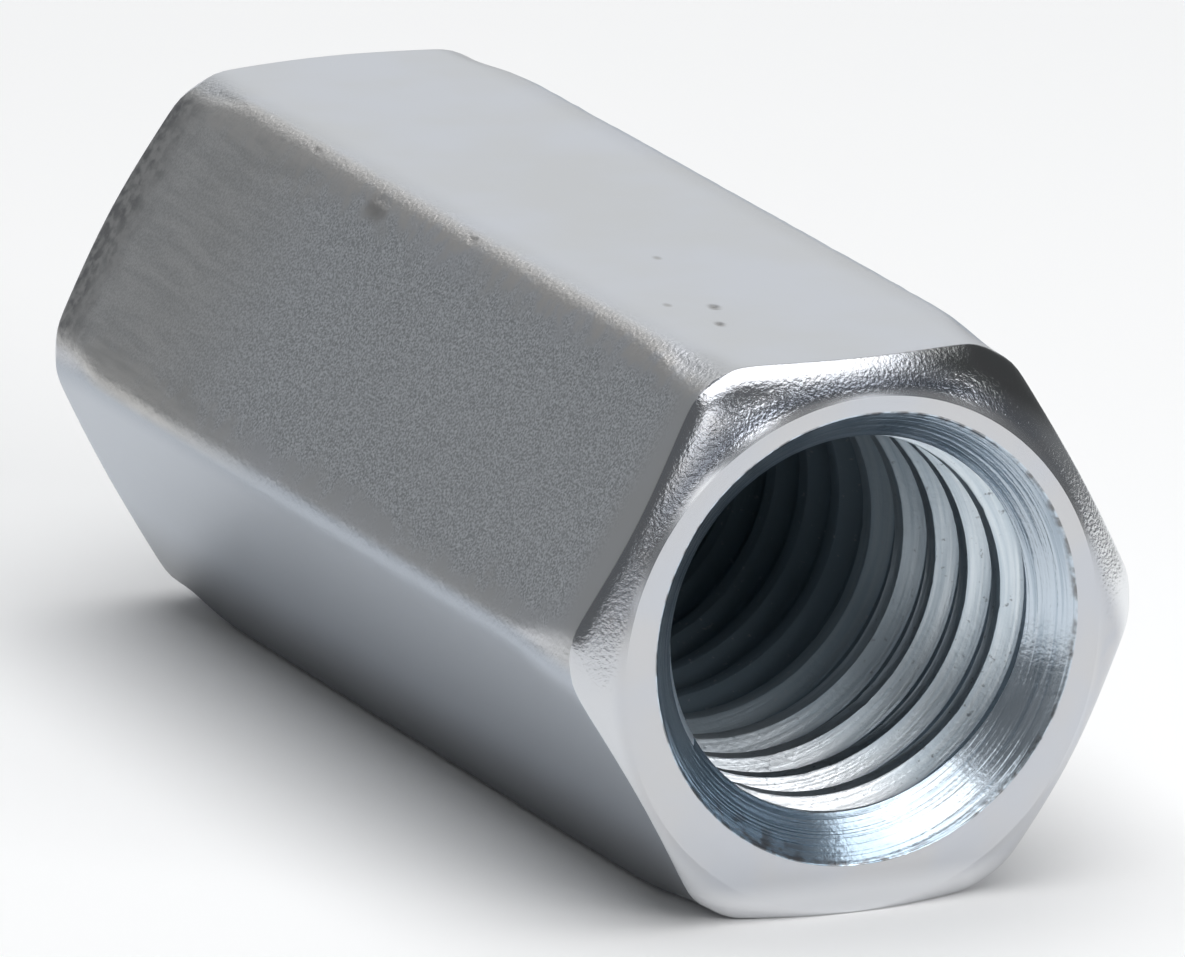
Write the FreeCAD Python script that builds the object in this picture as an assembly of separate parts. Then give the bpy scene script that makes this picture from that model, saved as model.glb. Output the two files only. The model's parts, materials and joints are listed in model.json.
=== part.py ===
import FreeCAD, Part
import math
import os

# Hex coupling: a long hexagonal nut, open right through, that joins two lengths of threaded rod.
# The bore runs along Y and the origin lies on the bore axis, half way along.
# One flat of the hexagon faces down, its opposite faces up, and two long edges lie at +X and -X.

# Sizes in millimetres and degrees
across_flats = 12.4
body_length = 28.6
long_edge_radius = 0.6
bore_diameter = 8.4
countersink_width = 0.9
countersink_angle = 82.0
end_ring_width = 0.38
end_chamfer_angle = 36.0

axis = FreeCAD.Vector(0, 1, 0)
centre = FreeCAD.Vector(0, 0, 0)
half_length = body_length / 2.0


def turned(profile):
    """Solid of revolution about the bore axis from (radius, place along the axis) points."""
    points = [FreeCAD.Vector(radius, place, 0) for radius, place in profile]
    return Part.Face(Part.makePolygon(points + points[:1])).revolve(centre, axis, 360.0)


# Hexagonal bar with its six long edges rounded
corner_reach = across_flats / math.sqrt(3.0)
corners = []
for k in range(6):
    turn = math.radians(60.0 * k)
    corners.append(FreeCAD.Vector(corner_reach * math.cos(turn), -half_length, corner_reach * math.sin(turn)))
bar = Part.Face(Part.makePolygon(corners + corners[:1])).extrude(axis * body_length)
long_edges = [edge for edge in bar.Edges if abs(edge.tangentAt(edge.FirstParameter).dot(axis)) > 0.99]
bar = bar.makeFillet(long_edge_radius, long_edges)

# Bore at the crests of the thread, opening out into a countersink at each mouth
bore_radius = bore_diameter / 2.0
mouth_radius = bore_radius + countersink_width
countersink_slope = math.tan(math.radians(countersink_angle / 2.0))
countersink_depth = countersink_width / countersink_slope
overrun = countersink_depth
overrun_radius = mouth_radius + overrun * countersink_slope
bore = turned([
    (0, -half_length - overrun),
    (overrun_radius, -half_length - overrun),
    (bore_radius, countersink_depth - half_length),
    (bore_radius, half_length - countersink_depth),
    (overrun_radius, half_length + overrun),
    (0, half_length + overrun),
])

# Turned ends: a flat ring round each mouth, then a cone that takes off the corners of the bar
ring_radius = mouth_radius + end_ring_width
cone_radius = ring_radius + corner_reach
cone_drop = corner_reach * math.tan(math.radians(end_chamfer_angle))
envelope = turned([
    (0, -half_length),
    (ring_radius, -half_length),
    (cone_radius, cone_drop - half_length),
    (cone_radius, half_length - cone_drop),
    (ring_radius, half_length),
    (0, half_length),
])

coupling = bar.common(envelope).cut(bore).Solids[0]
os.makedirs("parts", exist_ok=True)
coupling.exportStep("parts/hex_coupling.step")
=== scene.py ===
import json
import math

import bmesh
import bpy
import numpy as np
from mathutils import Matrix, Vector, noise


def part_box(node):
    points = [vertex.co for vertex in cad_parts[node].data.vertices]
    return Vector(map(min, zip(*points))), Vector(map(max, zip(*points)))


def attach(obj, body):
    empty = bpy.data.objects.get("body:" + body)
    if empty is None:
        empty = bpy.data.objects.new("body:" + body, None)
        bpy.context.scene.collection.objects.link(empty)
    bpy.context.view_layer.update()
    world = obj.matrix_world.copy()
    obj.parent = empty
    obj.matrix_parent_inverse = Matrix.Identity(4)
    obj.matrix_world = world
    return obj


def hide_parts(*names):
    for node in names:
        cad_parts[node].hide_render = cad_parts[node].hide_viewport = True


# A long hexagonal nut in bright zinc-plated steel, threaded right through.
# The bore runs along Y and the photographed mouth faces -Y.
# Lengths below are in millimetres and angles in degrees, unless a name says otherwise.

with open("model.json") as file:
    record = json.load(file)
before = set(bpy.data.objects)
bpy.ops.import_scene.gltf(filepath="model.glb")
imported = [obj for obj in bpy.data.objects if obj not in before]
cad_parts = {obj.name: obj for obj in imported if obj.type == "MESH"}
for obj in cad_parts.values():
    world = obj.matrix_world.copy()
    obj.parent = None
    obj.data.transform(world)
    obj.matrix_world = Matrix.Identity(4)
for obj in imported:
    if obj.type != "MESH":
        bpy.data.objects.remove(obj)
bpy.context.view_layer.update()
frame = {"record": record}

MM = 0.001
NODE = "hex_coupling"

# Sizes that the frame holds
node_low, node_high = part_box(NODE)
rod_mount = next(mount for mount in frame["record"]["mounts"] if mount["name"] == "rod_front")
body_length = (node_high.y - node_low.y) / MM
flat_distance = (node_high.z - node_low.z) / MM / 2
crest_radius = rod_mount["dims"]["r_mm"]

# Sizes of the ends and edges
long_edge_radius = 0.605
countersink_width = 0.9
countersink_angle = 82.0
end_ring_width = 0.38
chamfer_slope = 0.92
chamfer_bend = 0.13
chamfer_bend_power = 6
tip_flattening = 0.33
tip_bend = 0.15
chamfer_lean = 0.7
chamfer_lean_angle = 75.0
chamfer_lean_power = 1.5
mouth_softness = 0.025
flat_softness = 0.05
tip_softness = 0.3
pilot_clearance = 0.6
crease_angle = 20.0

# Wear: the tips of the long edges are blunted, and the edges and mouths are a little ragged
edge_reach = 0.9
edge_wander = 0.025
edge_wear_start = 0.3
edge_waves_around = 3.0
edge_waves_along = 1.6
tip_reach = 2.0
tip_drop = 0.22
tip_rounding = 0.12
mouth_chips = 0.03
chip_waves = 2.2
burr_waves = 16.0
burr_share = 0.2

# Knocks: the flat's angle, the place across it and along the bore, the width and the depth
knock_stretch = 1.6
knock_unevenness = 0.3
knock_waves = 5.0
knocks = (
    (90, 1.2, -8.8, 0.36, 0.05),
    (90, 1.7, -10.1, 0.3, 0.04),
    (90, 0.6, -4.7, 0.24, 0.02),
    (90, 2.1, -8.3, 0.24, 0.02),
    (150, -3.0, 2.8, 0.8, 0.08),
    (150, -3.5, -1.5, 0.34, 0.05),
    (150, -3.5, 6.6, 0.3, 0.04),
    (210, -3.5, -12.4, 0.3, 0.05),
)

# Thread: 16 turns to the inch, right-handed
thread_pitch = 25.4 / 16
thread_depth = 0.5
thread_flank_angle = 22.0
thread_start_depth = 2.17
crest_width = 0.44
crest_softness = 0.05
crest_tears = 0.05
tear_height = 0.15
tear_start = 0.25
tear_waves_around = 13.0
tear_waves_along = 2.0
root_softness = 0.08
thread_lead_start = 0.5
thread_lead_length = 0.9

# Mesh steps
arc_steps = 8
flat_steps = 28
side_steps = 90
cone_steps = 4
chamfer_steps = 14
mouth_corner_steps = 3
flat_corner_steps = 4
rolled_tip_steps = 2
longest_corner_share = 0.9
thread_columns = 144
thread_corner_steps = 2
turns_before = 3
turns_after = 4
knock_cuts = 5
knock_margin = 0.2
sliver_width = 0.002

# Material slots of the one mesh, in order
ROLLED, TURNED, COUNTERSUNK, TAPPED = range(4)


def hexagon_outline():
    """The rounded hexagon, as points (x, z) from the +X edge round towards +Z."""
    points = []
    arc_centre = (flat_distance - long_edge_radius) / math.cos(math.radians(30))
    corners = []
    for corner in range(6):
        middle = math.radians(60 * corner)
        turn = middle + np.radians(np.linspace(-30, 30, arc_steps + 1))
        x = arc_centre * math.cos(middle) + long_edge_radius * np.cos(turn)
        z = arc_centre * math.sin(middle) + long_edge_radius * np.sin(turn)
        corners.append(np.stack([x, z], axis=1))
    for corner in range(6):
        following = corners[(corner + 1) % 6]
        along = np.linspace(0, 1, flat_steps + 1)[1:-1, None]
        points.append(corners[corner])
        points.append(corners[corner][-1] * (1 - along) + following[0] * along)
    return np.concatenate(points)


def soft_corner(before, corner, after, reach_in, reach_out, steps):
    """Rows that round the corner of a meridian; the three places are (2, columns) arrays."""
    arriving = (corner - before) / np.hypot(*(corner - before))
    leaving = (after - corner) / np.hypot(*(after - corner))
    start = corner - reach_in * arriving
    end = corner + reach_out * leaving
    rows = []
    for share in np.linspace(0, 1, steps + 1):
        rows.append((1 - share) ** 2 * start + 2 * share * (1 - share) * corner + share ** 2 * end)
    return rows


def between(first, last, count):
    """Rows spaced evenly between two rows, without the two."""
    return [first + (last - first) * step / (count + 1) for step in range(1, count + 1)]


def ripple(x, y, z):
    """Smooth noise from -1 to 1, the same on every run."""
    return noise.noise(Vector((x, y, z)))


def edge_gap(directions):
    """How far along its flat each outline point lies from the nearest long edge."""
    turn = np.degrees(np.arctan2(directions[:, 1], directions[:, 0])) % 60
    from_middle = np.radians(np.abs(turn - 30))
    return flat_distance * (math.tan(math.radians(30)) - np.tan(from_middle))


def soft_least(first, second):
    """The smaller of two radii, rounded off where they cross."""
    return (first + second - np.sqrt((first - second) ** 2 + tip_rounding ** 2)) / 2


def chipped(directions, end):
    """How far the mouth's edge is broken back at each column; end is -1 or 1."""
    chips = []
    for x, z in directions:
        coarse = max(0.0, ripple(chip_waves * x, 7.0 * end, chip_waves * z))
        fine = abs(ripple(burr_waves * x, 3.0 * end, burr_waves * z))
        chips.append(mouth_chips * (coarse + burr_share * fine))
    return np.array(chips)


def domed_chamfer(ring_radius, outline_radius, share):
    """One row (radius, depth) of the chamfer, which bends steeper from the ring out to the flats."""
    width = outline_radius - ring_radius
    beyond_flat = np.maximum(outline_radius - flat_distance, 0)
    depth = width * (chamfer_slope - tip_flattening * beyond_flat)
    bend = chamfer_bend + tip_bend * beyond_flat
    fall = (1 - bend) * share + bend * share ** chamfer_bend_power
    return np.stack([ring_radius + width * share, depth * fall])


def end_rows(outline_radius, directions, end):
    """Meridian rows (radius, depth) of one end, from the pilot hole out to the flats."""
    level = np.ones_like(outline_radius)
    mouth_radius = crest_radius + countersink_width
    ring_radius = (mouth_radius + end_ring_width) * level
    if end < 0:
        heavy_side = math.radians(chamfer_lean_angle)
        lean = (1 - directions @ np.array([math.cos(heavy_side), math.sin(heavy_side)])) / 2
        ring_radius += chamfer_lean * lean ** chamfer_lean_power
    pilot_radius = crest_radius - pilot_clearance
    pilot_depth = (mouth_radius - pilot_radius) / math.tan(math.radians(countersink_angle / 2))
    tip = np.clip(1 - edge_gap(directions) / edge_reach, 0, 1) ** 2
    pilot = np.stack([pilot_radius * level, pilot_depth * level])
    mouth = np.stack([mouth_radius + chipped(directions, end), 0 * level])
    ring = np.stack([ring_radius, 0 * level])
    shares = np.linspace(0, 1, chamfer_steps + 1)
    chamfer = [domed_chamfer(ring_radius, outline_radius, share) for share in shares]
    side = chamfer[-1] + np.stack([0 * level, level])
    cone_end = soft_corner(pilot, mouth, ring, mouth_softness, mouth_softness, mouth_corner_steps)
    last_step = np.hypot(*(chamfer[-1] - chamfer[-2]))
    chamfer_reach = np.minimum(flat_softness, longest_corner_share * last_step)
    flat_reach = flat_softness + tip_softness * tip
    flat_start = soft_corner(chamfer[-2], chamfer[-1], side, chamfer_reach, flat_reach, flat_corner_steps)
    cone = [pilot] + between(pilot, cone_end[0], cone_steps) + cone_end
    turned = between(cone_end[-1], ring, 1) + chamfer[:-1] + flat_start
    kinds = [COUNTERSUNK] * (len(cone) - 1)
    kinds += [TURNED] * (len(turned) - rolled_tip_steps)
    kinds += [ROLLED] * rolled_tip_steps
    return cone + turned, kinds


def mesh_object(name, points, faces, kinds):
    """A linked object from points in millimetres, with one material slot number for each face."""
    mesh = bpy.data.meshes.new(name)
    mesh.from_pydata([tuple(point) for point in np.asarray(points) * MM], [], faces)
    mesh.polygons.foreach_set("material_index", kinds)
    mesh.polygons.foreach_set("use_smooth", [True] * len(faces))
    made = bpy.data.objects.new(name, mesh)
    bpy.context.scene.collection.objects.link(made)
    return made


def face_outwards(mesh):
    """Turns every face of a closed mesh to the outside."""
    shell = bmesh.new()
    shell.from_mesh(mesh)
    bmesh.ops.recalc_face_normals(shell, faces=shell.faces)
    shell.to_mesh(mesh)
    shell.free()


def ragged(directions, y, fall):
    """How far the long edges are worn back along one row."""
    worn = np.zeros_like(fall)
    for column in np.flatnonzero(fall > edge_wear_start):
        x, z = directions[column] * edge_waves_around
        depth = edge_wander * ((fall[column] - edge_wear_start) / (1 - edge_wear_start)) ** 2
        worn[column] = depth * abs(ripple(x, edge_waves_along * y[column], z))
    return worn


def body_blank():
    """The hexagon bar with chamfered, countersunk ends and a pilot hole right through."""
    outline = hexagon_outline()
    columns = len(outline)
    outline_radius = np.hypot(outline[:, 0], outline[:, 1])
    directions = outline / outline_radius[:, None]
    fall = np.clip(1 - edge_gap(directions) / edge_reach, 0, 1)
    tip_radius = outline_radius.max() - tip_drop
    near_rows, end_kinds = end_rows(soft_least(outline_radius, tip_radius), directions, -1)
    far_rows, end_kinds = end_rows(soft_least(outline_radius, tip_radius), directions, 1)
    near = [np.stack([radius, depth - body_length / 2]) for radius, depth in near_rows]
    far = [np.stack([radius, body_length / 2 - depth]) for radius, depth in reversed(far_rows)]
    middle = between(near[-1], far[0], side_steps)
    for row in middle:
        from_end = np.minimum(row[1] - near[-1][1], far[0][1] - row[1])
        limit = tip_radius + tip_drop * (from_end / tip_reach) ** 2
        row[0] = soft_least(outline_radius, limit) - ragged(directions, row[1], fall)
    kinds = end_kinds + [ROLLED] * (side_steps + 1) + end_kinds[::-1] + [TAPPED]
    points = []
    for radius, y in near + middle + far:
        points.append(np.stack([radius * directions[:, 0], y, radius * directions[:, 1]], axis=1))
    faces = []
    for row in range(len(points)):
        lower = row * columns
        upper = (row + 1) % len(points) * columns
        for column in range(columns):
            beside = (column + 1) % columns
            faces.append((lower + column, lower + beside, upper + beside, upper + column))
    made = mesh_object("coupling", np.concatenate(points), faces, np.repeat(kinds, columns))
    face_outwards(made.data)
    press_knocks(made.data)
    return made


def knock_place(angle, across, along):
    """The middle of a knock, and the way out from its flat."""
    turn = math.radians(angle)
    outwards = Vector((math.cos(turn), 0, math.sin(turn)))
    sideways = Vector((-math.sin(turn), 0, math.cos(turn)))
    return flat_distance * outwards + across * sideways + Vector((0, along, 0)), outwards


def press_knocks(mesh):
    """Presses the small knocks into the flats, on a finer grid around each."""
    shell = bmesh.new()
    shell.from_mesh(mesh)
    for angle, across, along, width, depth in knocks:
        middle, outwards = knock_place(angle, across, along)
        middle *= MM
        reach = width / 2 * MM
        around = []
        for edge in shell.edges:
            edge_middle = (edge.verts[0].co + edge.verts[1].co) / 2
            if (edge_middle - middle).length < knock_stretch * reach + knock_margin * MM:
                around.append(edge)
        bmesh.ops.subdivide_edges(shell, edges=around, cuts=knock_cuts, use_grid_fill=True)
        for vert in shell.verts:
            offset = vert.co - middle
            offset.y /= knock_stretch
            gap = offset.length / reach
            if gap < 1:
                uneven = 1 + knock_unevenness * noise.noise(vert.co * knock_waves / MM)
                vert.co -= outwards * depth * MM * uneven * (1 - gap ** 2) ** 2
    shell.to_mesh(mesh)
    shell.free()


def thread_profile():
    """One pitch of the thread as (axial distance, radius), from the middle of a crest."""
    flank = thread_depth * math.tan(math.radians(thread_flank_angle))
    crest_middle = np.array([0, crest_radius])
    crest_edge = np.array([crest_width / 2, crest_radius])
    root_edge = np.array([crest_width / 2 + flank, crest_radius + thread_depth])
    root_middle = np.array([thread_pitch / 2, crest_radius + thread_depth])
    half = [crest_middle]
    steps = thread_corner_steps
    half += soft_corner(crest_middle, crest_edge, root_edge, crest_softness, crest_softness, steps)
    half += soft_corner(crest_edge, root_edge, root_middle, root_softness, root_softness, steps)
    half.append(root_middle)
    return half + [np.array([thread_pitch - axial, radius]) for axial, radius in half[-2:0:-1]]


def torn(radius, angles, y):
    """How far the crests are torn back at each point of one row."""
    share = max(0.0, 1 - (radius - crest_radius) / tear_height)
    tears = []
    for angle, place in zip(angles, y):
        x = tear_waves_around * math.cos(angle)
        z = tear_waves_around * math.sin(angle)
        tear = max(0.0, ripple(x, tear_waves_along * place, z) - tear_start)
        tears.append(crest_tears * share * tear)
    return np.array(tears)


def tap():
    """A closed screw the shape of the threaded hole, longer than the bar at both ends."""
    profile = thread_profile()
    steps = len(profile)
    turns = turns_before + math.ceil(body_length / thread_pitch) + turns_after
    start = thread_start_depth - body_length / 2 - turns_before * thread_pitch
    angles = 2 * math.pi * np.arange(thread_columns) / thread_columns
    points = []
    for row in range(turns * steps + 1):
        axial, radius = profile[row % steps]
        y = start + row // steps * thread_pitch + axial - thread_pitch * angles / (2 * math.pi)
        lead = np.clip((body_length / 2 - np.abs(y) - thread_lead_start) / thread_lead_length, 0, 1)
        radii = crest_radius + (radius - crest_radius) * lead + torn(radius, angles, y)
        points.append(np.stack([radii * np.cos(angles), y, radii * np.sin(angles)], axis=1))
    rows = len(points)
    last = thread_columns - 1

    def at(row, column):
        return row * thread_columns + column

    faces = []
    for row in range(rows - 1):
        for column in range(last):
            lower_pair = (at(row, column), at(row, column + 1))
            upper_pair = (at(row + 1, column + 1), at(row + 1, column))
            faces.append(lower_pair + upper_pair)
        if row >= steps:
            lower = row - steps
            faces.append((at(row, last), at(lower, 0), at(lower + 1, 0), at(row + 1, last)))
    first_rim = [at(0, column) for column in range(thread_columns)]
    first_rim += [at(row, last) for row in range(1, steps + 1)]
    last_rim = [at(rows - 1, column) for column in range(last, -1, -1)]
    last_rim += [at(row, 0) for row in range(rows - 2, rows - 2 - steps, -1)]
    points = np.concatenate(points)
    for rim in (first_rim, last_rim):
        hub = len(points)
        points = np.concatenate([points, [[0, points[rim, 1].mean(), 0]]])
        faces += [(hub, rim[place - 1], rim[place]) for place in range(len(rim))]
    made = mesh_object("tap", points, faces, [TAPPED] * len(faces))
    face_outwards(made.data)
    return made


def cut_away(body, tool):
    """Takes the tool's shape out of the body and drops the tool."""
    cut = body.modifiers.new("thread", "BOOLEAN")
    cut.operation = "DIFFERENCE"
    cut.solver = "EXACT"
    cut.object = tool
    depsgraph = bpy.context.evaluated_depsgraph_get()
    body.data = bpy.data.meshes.new_from_object(body.evaluated_get(depsgraph))
    body.modifiers.clear()
    bpy.data.objects.remove(tool)
    drop_slivers(body.data)


def drop_slivers(mesh):
    """Clears the faces without width that the cut leaves where rows of points almost meet."""
    shell = bmesh.new()
    shell.from_mesh(mesh)
    many_sided = [face for face in shell.faces if len(face.verts) > 4]
    bmesh.ops.triangulate(shell, faces=many_sided)
    bmesh.ops.dissolve_degenerate(shell, dist=sliver_width * MM, edges=shell.edges)
    shell.to_mesh(mesh)
    shell.free()


def node(tree, kind, sockets=None, **settings):
    """Adds a shader node; sockets gives each input a value or another node's output."""
    made = tree.nodes.new("ShaderNode" + kind)
    for name, value in settings.items():
        setattr(made, name, value)
    for place, value in (sockets or {}).items():
        if isinstance(value, bpy.types.NodeSocket):
            tree.links.new(value, made.inputs[place])
        else:
            made.inputs[place].default_value = value
    return made


def calc(tree, operation, first, second=0.0):
    """The result of a Math node."""
    return node(tree, "Math", {0: first, 1: second}, operation=operation).outputs[0]


def fade(tree, value, start, end, low=0.0, high=1.0):
    """Goes smoothly from low at start to high at end."""
    sockets = {"Value": value, "From Min": start, "From Max": end, "To Min": low, "To Max": high}
    return node(tree, "MapRange", sockets, interpolation_type="SMOOTHSTEP").outputs["Result"]


def cloud(tree, place, scale, detail=2.0, stretch=(1.0, 1.0, 1.0)):
    """Noise from 0 to 1, with scale in waves to the millimetre."""
    stretched = node(tree, "VectorMath", {0: place, 1: stretch}, operation="MULTIPLY").outputs[0]
    return node(tree, "TexNoise", {"Vector": stretched, "Scale": scale, "Detail": detail}).outputs["Fac"]


def bump(tree, height, depth, under=None):
    """A surface raised by a height from 0 to 1 times a depth, over another such surface."""
    sockets = {"Height": height, "Distance": depth * MM, "Strength": 1.0}
    if under is not None:
        sockets["Normal"] = under
    return node(tree, "Bump", sockets).outputs["Normal"]


def blend_colours(tree, share, first, second):
    """The first colour where the share is 0 and the second where it is 1."""
    sockets = {0: share, 6: first, 7: second}
    return node(tree, "Mix", sockets, data_type="RGBA").outputs[2]


def metal(name):
    """A bare metal material: its node tree, its shader and the place on the surface in millimetres."""
    material = bpy.data.materials.new(name)
    material.use_nodes = True
    tree = material.node_tree
    shader = tree.nodes["Principled BSDF"]
    shader.inputs["Metallic"].default_value = 1.0
    place = node(tree, "TexCoord").outputs["Object"]
    place = node(tree, "VectorMath", {0: place, "Scale": 1 / MM}, operation="SCALE").outputs[0]
    return material, tree, shader, place


def towards(tree, place, angle):
    """How far a point lies out from the axis in the direction of an angle."""
    way = (math.cos(math.radians(angle)), 0.0, math.sin(math.radians(angle)))
    return node(tree, "VectorMath", {0: place, 1: way}, operation="DOT_PRODUCT").outputs["Value"]


def flat_height(tree, place, angle):
    """How far a point lies out towards the two flats that face an angle."""
    return calc(tree, "ABSOLUTE", towards(tree, place, angle))


def edge_distance(tree, place):
    """How far a point on a flat lies from the nearer of its two long edges."""
    heights = [flat_height(tree, place, angle) for angle in (30, 90, 150)]
    highest = calc(tree, "MAXIMUM", calc(tree, "MAXIMUM", heights[0], heights[1]), heights[2])
    lowest = calc(tree, "MINIMUM", calc(tree, "MINIMUM", heights[0], heights[1]), heights[2])
    total = calc(tree, "ADD", calc(tree, "ADD", heights[0], heights[1]), heights[2])
    second = calc(tree, "SUBTRACT", calc(tree, "SUBTRACT", total, highest), lowest)
    gap = calc(tree, "SUBTRACT", highest, second)
    return calc(tree, "DIVIDE", gap, math.sin(math.radians(60)))


def end_distance(tree, place):
    """How far a point lies in from the nearer end of the coupling."""
    parts = node(tree, "SeparateXYZ", {0: place}).outputs
    return calc(tree, "SUBTRACT", body_length / 2, calc(tree, "ABSOLUTE", parts["Y"]))


def bore_distance(tree, place):
    """How far a point lies from the axis of the bore."""
    across = node(tree, "VectorMath", {0: place, 1: (1.0, 0.0, 1.0)}, operation="MULTIPLY").outputs[0]
    return node(tree, "VectorMath", {0: across}, operation="LENGTH").outputs["Value"]


def link(tree, shader, **sockets):
    """Joins outputs to the shader's inputs of the same names."""
    for name, output in sockets.items():
        tree.links.new(output, shader.inputs[name.replace("_", " ")])


def sandy_share(tree, place, gap):
    """Where the two sandy flats show their grain: away from their edges, ends and the far half."""
    share = fade(tree, flat_height(tree, place, 150), flat_distance - 0.12, flat_distance - 0.03)
    share = calc(tree, "MULTIPLY", share, fade(tree, gap, 0.3, 1.3))
    share = calc(tree, "MULTIPLY", share, fade(tree, end_distance(tree, place), 1.0, 2.2))
    along = node(tree, "SeparateXYZ", {0: place}).outputs["Y"]
    return calc(tree, "MULTIPLY", share, fade(tree, along, 10.0, 2.0, 0.3, 1.0))


def knock_share(tree, place):
    """Grows in the middle of each knock, where grime and painted shade darken its hollow."""
    squeeze = Vector((1, 1 / knock_stretch, 1))
    squeezed = node(tree, "VectorMath", {0: place, 1: squeeze}, operation="MULTIPLY").outputs[0]
    share = 0.0
    for angle, across, along, width, depth in knocks:
        middle = knock_place(angle, across, along)[0] * squeeze
        gap = node(tree, "VectorMath", {0: squeezed, 1: middle}, operation="DISTANCE").outputs["Value"]
        share = calc(tree, "MAXIMUM", share, fade(tree, gap, 0.55 * width, 0.15 * width, 0.0, 0.8))
    return share


def plain_tone(tree, place, side, bluish_flats):
    """The smooth plating: mottled, bluish on two flats, and streaked on the far half of two others."""
    neutral = (0.60, 0.605, 0.61, 1)
    cool = (0.62, 0.635, 0.67, 1)
    bluish = (0.48, 0.52, 0.575, 1)
    dull_dark = (0.53, 0.525, 0.515, 1)
    dull_light = (0.63, 0.62, 0.605, 1)
    patches = fade(tree, cloud(tree, place, 0.25, 3.0), 0.3, 0.7)
    tone = blend_colours(tree, patches, neutral, cool)
    # Bluer and darker on the two flats that face 30 and 210 degrees.
    tone = blend_colours(tree, bluish_flats, tone, bluish)
    along = node(tree, "SeparateXYZ", {0: place}).outputs["Y"]
    far_half = calc(tree, "MULTIPLY", side, fade(tree, along, 0.0, 9.0))
    streaks = fade(tree, cloud(tree, place, 1.0, 4.0, (4.0, 0.5, 4.0)), 0.35, 0.65)
    dull = blend_colours(tree, streaks, dull_dark, dull_light)
    return blend_colours(tree, far_half, tone, dull)


def worn_and_highlit_tone(tree, place, tone, side, gap):
    """The tone with a paler strip along the upper long edges of two flats: partly wear, partly a painted
    highlight.
    """
    bare = (0.65, 0.635, 0.62, 1)
    up = node(tree, "SeparateXYZ", {0: place}).outputs["Z"]
    # Paler towards the upper long edges: partly wear, partly a painted highlight.
    worn = calc(tree, "MULTIPLY", side, fade(tree, gap, 0.8, 0.1))
    worn = calc(tree, "MULTIPLY", worn, fade(tree, up, 1.0, 3.0))
    return blend_colours(tree, worn, tone, bare)


def dirty_and_shaded_tone(tree, place, tone, side, bluish_flats, wander):
    """The tone with a dark smear at the far end, painted shade darkening the lower edge, and grime with
    painted shade in the knocks.
    """
    smear_dark = (0.26, 0.26, 0.265, 1)
    smear_light = (0.50, 0.495, 0.49, 1)
    underside_painted_shade = (0.23, 0.24, 0.255, 1)
    dirt_and_shade = (0.40, 0.39, 0.38, 1)
    parts = node(tree, "SeparateXYZ", {0: place}).outputs
    mottle = fade(tree, cloud(tree, place, 4.0, 4.0), 0.35, 0.65)
    smear = blend_colours(tree, mottle, smear_dark, smear_light)
    ragged_end = calc(tree, "ADD", parts["Y"], wander)
    far_end = calc(tree, "MULTIPLY", side, fade(tree, ragged_end, 11.5, 13.3))
    tone = blend_colours(tree, far_end, tone, smear)
    # Painted shade: the lower-left flat darkens towards its bottom edge, where it mirrors the shaded
    # floor.
    under = calc(tree, "MULTIPLY", bluish_flats, fade(tree, parts["Z"], -3.5, -6.0))
    tone = blend_colours(tree, under, tone, underside_painted_shade)
    # The knocks are filled with a dark tone: partly grime, partly painted shade in their hollows.
    return blend_colours(tree, knock_share(tree, place), tone, dirt_and_shade)


def rolled_surface(tree, place, edge, specks, sandy):
    """Faint waves and lengthwise lines, with sand on two flats and rough long edges."""
    lines = cloud(tree, place, 1.0, 3.0, (5.0, 0.12, 5.0))
    surface = bump(tree, cloud(tree, place, 0.6, 2.0), 0.004)
    surface = bump(tree, lines, 0.002, surface)
    surface = bump(tree, calc(tree, "MULTIPLY", specks, sandy), 0.012, surface)
    rough_edge = calc(tree, "MULTIPLY", cloud(tree, place, 9.0, 3.0), fade(tree, edge, 0.8, 0.1))
    return bump(tree, rough_edge, 0.03, surface)


def rolled_zinc():
    """The flats: smooth, with faint lengthwise lines, sandy on two sides and bluish on two others."""
    sand_dark = (0.40, 0.415, 0.435, 1)
    sand_light = (0.82, 0.84, 0.87, 1)
    material, tree, shader, place = metal("rolled_zinc")
    edge = edge_distance(tree, place)
    wander = fade(tree, cloud(tree, place, 2.0, 2.0), 0.3, 0.7, -0.3, 0.3)
    gap = calc(tree, "ADD", edge, wander)
    # The two flats that face 30 and 210 degrees, drawn bluer and darker.
    bluish_flats = fade(tree, flat_height(tree, place, 30), flat_distance - 0.3, flat_distance - 0.1)
    side = fade(tree, flat_height(tree, place, 150), flat_distance - 0.3, flat_distance - 0.05)
    specks = cloud(tree, place, 19.0, 1.0)
    sand = blend_colours(tree, fade(tree, specks, 0.3, 0.7), sand_dark, sand_light)
    sandy = sandy_share(tree, place, gap)
    tone = blend_colours(tree, sandy, plain_tone(tree, place, side, bluish_flats), sand)
    tone = worn_and_highlit_tone(tree, place, tone, side, gap)
    tone = dirty_and_shaded_tone(tree, place, tone, side, bluish_flats, wander)
    surface = rolled_surface(tree, place, edge, specks, sandy)
    shine = fade(tree, edge, 0.1, 1.0, 0.45, 0.28)
    link(tree, shader, Base_Color=tone, Roughness=shine, Normal=surface)
    return material


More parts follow.
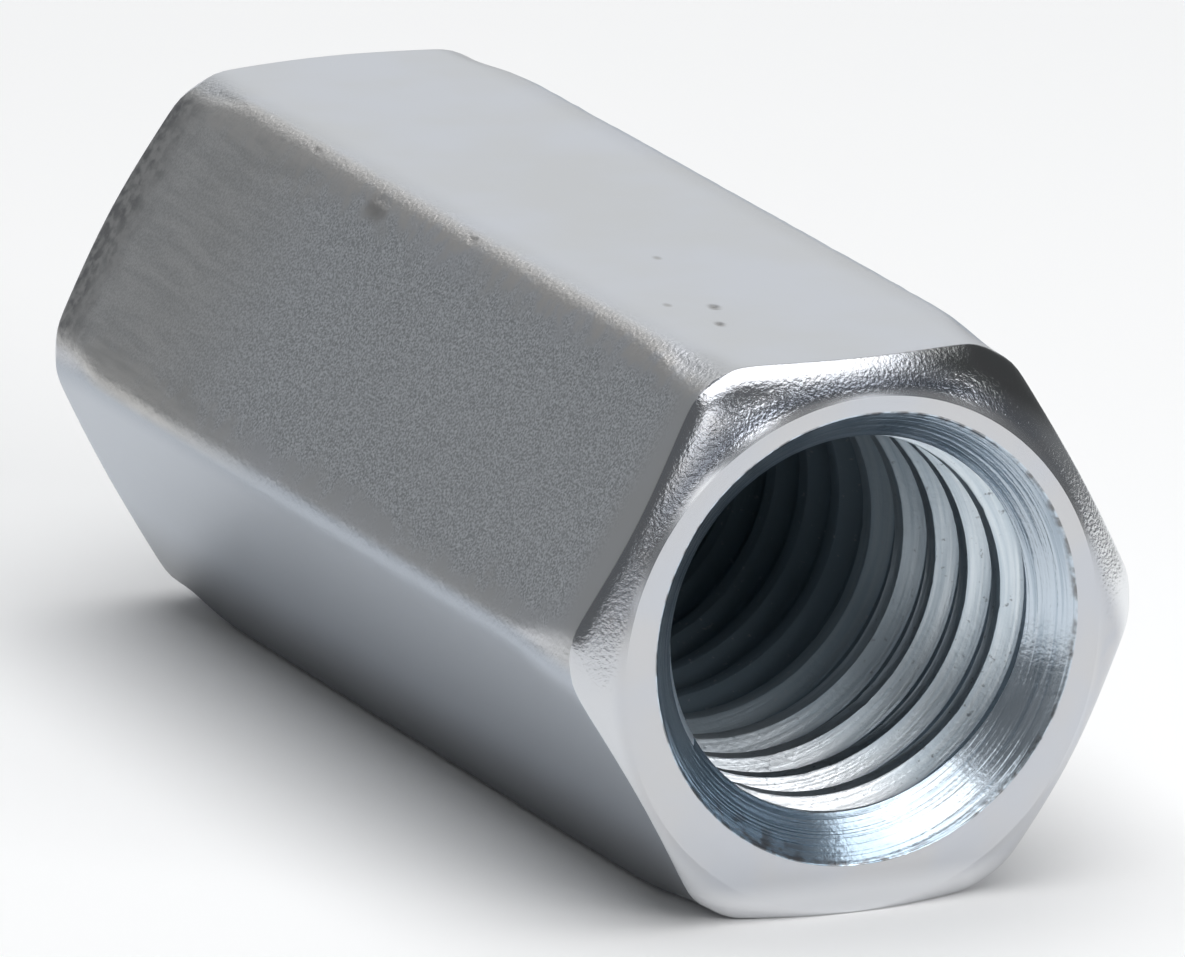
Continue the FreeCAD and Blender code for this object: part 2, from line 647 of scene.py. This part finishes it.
def slope_tone_with_painted_reflections(tree, place):
    """The chamfer, with painted reflections: dark beside the ring above and at the upper right, paler
    elsewhere.
    """
    cool = (0.52, 0.54, 0.58, 1)
    neutral = (0.56, 0.565, 0.585, 1)
    slate_painted_reflection = (0.27, 0.29, 0.335, 1)
    pale = (0.82, 0.835, 0.85, 1)
    dark = (0.25, 0.255, 0.255, 1)
    light = (0.65, 0.665, 0.69, 1)
    blotch = fade(tree, cloud(tree, place, 1.6, 4.0), 0.35, 0.75)
    tone = blend_colours(tree, blotch, cool, neutral)
    # Painted reflection: dark beside the ring at the top.
    above = fade(tree, towards(tree, place, 100), 3.0, 5.0)
    inner_painted_reflection = calc(tree, "MULTIPLY", above, fade(tree, end_distance(tree, place), 0.45, 0.15))
    tone = blend_colours(tree, inner_painted_reflection, tone, slate_painted_reflection)
    # Painted reflections: paler on the right, dark at the upper right and lighter at the lower left.
    tone = blend_colours(tree, fade(tree, towards(tree, place, 25), 5.4, 6.0), tone, pale)
    tone = blend_colours(tree, fade(tree, towards(tree, place, 60), 5.6, 6.3), tone, dark)
    return blend_colours(tree, fade(tree, towards(tree, place, 245), 1.0, 4.0), tone, light)


def turned_zinc():
    """The chamfer and end ring: smooth on the ring and sparkling on the slope, with a painted reflection
    that makes them palest at the bottom.
    """
    cool = (0.575, 0.595, 0.635, 1)
    warm = (0.595, 0.60, 0.615, 1)
    pale = (0.80, 0.81, 0.83, 1)
    material, tree, shader, place = metal("turned_zinc")
    slope_share = fade(tree, end_distance(tree, place), 0.02, 0.2)
    patches = fade(tree, cloud(tree, place, 0.5), 0.35, 0.65)
    ring = blend_colours(tree, patches, cool, warm)
    tone = blend_colours(tree, slope_share, ring, slope_tone_with_painted_reflections(tree, place))
    # Painted reflection: paler towards the bottom of the end.
    tone = blend_colours(tree, fade(tree, towards(tree, place, 270), 5.2, 5.8), tone, pale)
    grain = calc(tree, "MULTIPLY", cloud(tree, place, 12.0, 5.0), slope_share)
    smoother = fade(tree, end_distance(tree, place), 0.3, 0.6, 1.0, 0.45)
    surface = bump(tree, calc(tree, "MULTIPLY", grain, smoother), 0.018)
    shine = fade(tree, slope_share, 0.0, 1.0, 0.24, 0.15)
    link(tree, shader, Base_Color=tone, Roughness=shine, Normal=surface)
    return material


def mouth_dirt(tree, place, tone):
    """The tone with a dark ragged burr at the mouth and a smudge on its lower left."""
    burr_dark = (0.24, 0.245, 0.255, 1)
    smudge_dark = (0.22, 0.23, 0.25, 1)
    mouth_radius = crest_radius + countersink_width
    burr = fade(tree, bore_distance(tree, place), mouth_radius - 0.12, mouth_radius)
    burr = calc(tree, "MULTIPLY", burr, fade(tree, cloud(tree, place, 3.0, 6.0), 0.42, 0.62))
    tone = blend_colours(tree, burr, tone, burr_dark)
    smudge = fade(tree, cloud(tree, place, 2.5, 5.0), 0.46, 0.58)
    smudge = calc(tree, "MULTIPLY", smudge, fade(tree, towards(tree, place, 238), 4.45, 4.95))
    return blend_colours(tree, smudge, tone, smudge_dark)


def tool_marks(tree, place):
    """Noise that changes with the radius, for rings cut by the countersink."""
    ring = node(tree, "CombineXYZ", {0: bore_distance(tree, place)}).outputs[0]
    wander = node(tree, "VectorMath", {0: place, 1: (0.02, 0.02, 0.02)}, operation="MULTIPLY").outputs[0]
    ring = node(tree, "VectorMath", {0: ring, 1: wander}, operation="ADD").outputs[0]
    return cloud(tree, ring, 14.0, 2.0)


def countersunk_zinc():
    """The countersink: fine circular tool marks over a bluish passivated sheen, with painted shade
    towards the lower left.
    """
    sheen_dark = (0.55, 0.63, 0.71, 1)
    sheen_light = (0.64, 0.71, 0.78, 1)
    groove = (0.46, 0.54, 0.62, 1)
    blue_painted_shade = (0.44, 0.55, 0.66, 1)
    material, tree, shader, place = metal("countersunk_zinc")
    marks = tool_marks(tree, place)
    blotch = cloud(tree, place, 1.2, 4.0)
    sheen = blend_colours(tree, blotch, sheen_dark, sheen_light)
    tone = blend_colours(tree, fade(tree, marks, 0.35, 0.5), groove, sheen)
    # Painted shade: darker and bluer towards the lower left of the countersink.
    tone = blend_colours(tree, fade(tree, towards(tree, place, 250), 3.0, 4.6), tone, blue_painted_shade)
    tone = mouth_dirt(tree, place, tone)
    surface = bump(tree, marks, 0.016)
    surface = bump(tree, cloud(tree, place, 9.0, 2.0), 0.006, surface)
    shine = fade(tree, blotch, 0.3, 0.7, 0.2, 0.27)
    link(tree, shader, Base_Color=tone, Roughness=shine, Normal=surface)
    return material


def along_thread(tree, place):
    """A place that hardly changes on the way round the thread, so that noise there gives streaks."""
    parts = node(tree, "SeparateXYZ", {0: place}).outputs
    angle = calc(tree, "ARCTAN2", parts["Z"], parts["X"])
    climb = calc(tree, "MULTIPLY", angle, thread_pitch / (2 * math.pi))
    level = calc(tree, "ADD", parts["Y"], climb)
    streak = node(tree, "CombineXYZ", {0: bore_distance(tree, place), 1: level}).outputs[0]
    wander = node(tree, "VectorMath", {0: place, 1: (0.04, 0.0, 0.04)}, operation="MULTIPLY").outputs[0]
    return node(tree, "VectorMath", {0: streak, 1: wander}, operation="ADD").outputs[0]


def tapped_zinc():
    """The thread: streaked along the cut, pitted and bluish near the mouths, with a painted highlight on
    the lower turns, painted shade in the roots, and painted shade deep inside, where it turns dark and
    dull.
    """
    streak_dark = (0.62, 0.71, 0.78, 1)
    streak_light = (0.77, 0.84, 0.89, 1)
    lower_turns_painted_highlight = (0.86, 0.89, 0.92, 1)
    root_painted_shade = (0.40, 0.46, 0.52, 1)
    deep_painted_shade = (0.15, 0.195, 0.23, 1)
    pit_dark = (0.27, 0.30, 0.33, 1)
    material, tree, shader, place = metal("tapped_zinc")
    streaks = cloud(tree, along_thread(tree, place), 9.0, 2.0)
    tone = blend_colours(tree, fade(tree, streaks, 0.3, 0.7), streak_dark, streak_light)
    # Painted highlight: the lower turns are drawn paler.
    tone = blend_colours(tree, fade(tree, towards(tree, place, 250), 2.5, 3.8), tone, lower_turns_painted_highlight)
    root_radius = crest_radius + thread_depth
    # Painted shade: darker in the roots of the thread.
    root = fade(tree, bore_distance(tree, place), root_radius - 0.1, root_radius)
    tone = blend_colours(tree, root, tone, root_painted_shade)
    # Painted shade: darker deeper inside the bore.
    tone = blend_colours(tree, fade(tree, end_distance(tree, place), 2.5, 10.5), tone, deep_painted_shade)
    pits = fade(tree, cloud(tree, place, 6.0, 4.0), 0.63, 0.76)
    tone = blend_colours(tree, pits, tone, pit_dark)
    # Deeper in, the metal share falls to nothing, so the painted shade shows as a dull dark surface that
    # reflects nothing.
    glint = fade(tree, end_distance(tree, place), 4.0, 10.0, 1.0, 0.0)
    shader.inputs["Specular IOR Level"].default_value = 0.0
    surface = bump(tree, streaks, 0.01)
    surface = bump(tree, cloud(tree, place, 8.0, 2.0), 0.008, surface)
    shine = fade(tree, streaks, 0.3, 0.7, 0.42, 0.34)
    link(tree, shader, Base_Color=tone, Metallic=glint, Roughness=shine, Normal=surface)
    return material


def floor_paint():
    """A dull pale paint, very faintly uneven."""
    material = bpy.data.materials.new("pale_floor")
    material.use_nodes = True
    tree = material.node_tree
    shader = tree.nodes["Principled BSDF"]
    shader.inputs["Specular IOR Level"].default_value = 0.0
    shader.inputs["Roughness"].default_value = 1.0
    shade = cloud(tree, node(tree, "TexCoord").outputs["Object"], 3.0)
    tone = blend_colours(tree, shade, (0.93, 0.93, 0.93, 1), (0.95, 0.95, 0.95, 1))
    link(tree, shader, Base_Color=tone)
    return material


def direction(azimuth, elevation):
    """Unit vector towards an azimuth, from -Y towards +X, and an elevation."""
    turn = math.radians(azimuth)
    lift = math.radians(elevation)
    return Vector((math.sin(turn) * math.cos(lift), -math.cos(turn) * math.cos(lift), math.sin(lift)))


def floor():
    """The plain floor that the coupling lies on."""
    floor_radius = 160.0
    bpy.ops.mesh.primitive_circle_add(vertices=96, radius=floor_radius * MM, fill_type="NGON")
    made = bpy.context.object
    made.name = "floor"
    made.location = (0, 0, node_low.z)
    made.data.materials.append(floor_paint())


def panel(name, place, aim, width, height, radiance, colour=(1.0, 1.0, 1.0)):
    """A rectangular soft light; radiance 1 looks plain white in a mirror."""
    lamp = bpy.data.lights.new(name, "AREA")
    lamp.shape = "RECTANGLE"
    lamp.size = width * MM
    lamp.size_y = height * MM
    lamp.energy = radiance * math.pi * lamp.size * lamp.size_y
    lamp.color = colour
    made = bpy.data.objects.new(name, lamp)
    made.location = Vector(place) * MM
    made.rotation_euler = (Vector(place) - Vector(aim)).to_track_quat("Z", "Y").to_euler()
    bpy.context.scene.collection.objects.link(made)


def room():
    """A dim room, a little lighter behind, with lamps overhead, in front, on the left and behind."""
    left_glow = 0.16
    right_glow = 0.17
    back_glow = 0.16
    world = bpy.data.worlds.new("room")
    bpy.context.scene.world = world
    world.use_nodes = True
    tree = world.node_tree
    background = tree.nodes["Background"]
    background.inputs["Color"].default_value = (0.94, 0.97, 1.0, 1)
    sight = node(tree, "SeparateXYZ", {0: node(tree, "TexCoord").outputs["Generated"]}).outputs
    sideways = fade(tree, sight["X"], -0.6, 0.85, left_glow, right_glow)
    backwards = fade(tree, sight["Y"], 0.2, 0.9, 0.0, back_glow)
    tree.links.new(calc(tree, "ADD", sideways, backwards), background.inputs["Strength"])
    middle = (0, 0, 0)
    panel("overhead", (5, 0, 250), aim=(5, 0, 0), width=290, height=300, radiance=2.3)
    panel("front", direction(21, 22) * 300, aim=middle, width=206, height=90, radiance=5.0)
    panel("left", direction(-29, 36) * 300, aim=middle, width=100, height=80, radiance=1.7)
    panel("low_left", direction(-43, 5) * 300, aim=middle, width=100, height=45, radiance=0.8)
    cool = (0.96, 0.98, 1.0)
    panel("behind", direction(152, 22) * 340, middle, width=300, height=200, radiance=0.57, colour=cool)


def camera():
    """The photo's camera, fitted to its outline, mouth and thread."""
    lens = 715.7
    sensor_width = 36.0
    azimuth = -26.15
    elevation = 15.81
    roll = math.radians(1.4535)
    distance = 524.85
    aim_right = 0.229
    aim_up = -0.156
    back = direction(azimuth, elevation)
    level_right = Vector((0, 0, 1)).cross(back).normalized()
    level_up = back.cross(level_right)
    right = math.cos(roll) * level_right + math.sin(roll) * level_up
    up = math.cos(roll) * level_up - math.sin(roll) * level_right
    data = bpy.data.cameras.new("camera")
    data.lens = lens
    data.sensor_width = sensor_width
    data.clip_start = 0.01
    made = bpy.data.objects.new("camera", data)
    location = (distance * back + aim_right * right + aim_up * up) * MM
    turn = Matrix((right, up, back)).transposed().to_4x4()
    made.matrix_world = Matrix.Translation(location) @ turn
    bpy.context.scene.collection.objects.link(made)
    bpy.context.scene.camera = made


def coupling():
    """The whole coupling, as one piece that stands for the CAD solid."""
    body = body_blank()
    cut_away(body, tap())
    for material in (rolled_zinc(), turned_zinc(), countersunk_zinc(), tapped_zinc()):
        body.data.materials.append(material)
    body.data.set_sharp_from_angle(angle=math.radians(crease_angle))
    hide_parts(NODE)
    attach(body, "root")
    return body


bpy.context.scene.view_settings.view_transform = "Standard"
coupling()
floor()
room()
camera()

bpy.context.view_layer.update()
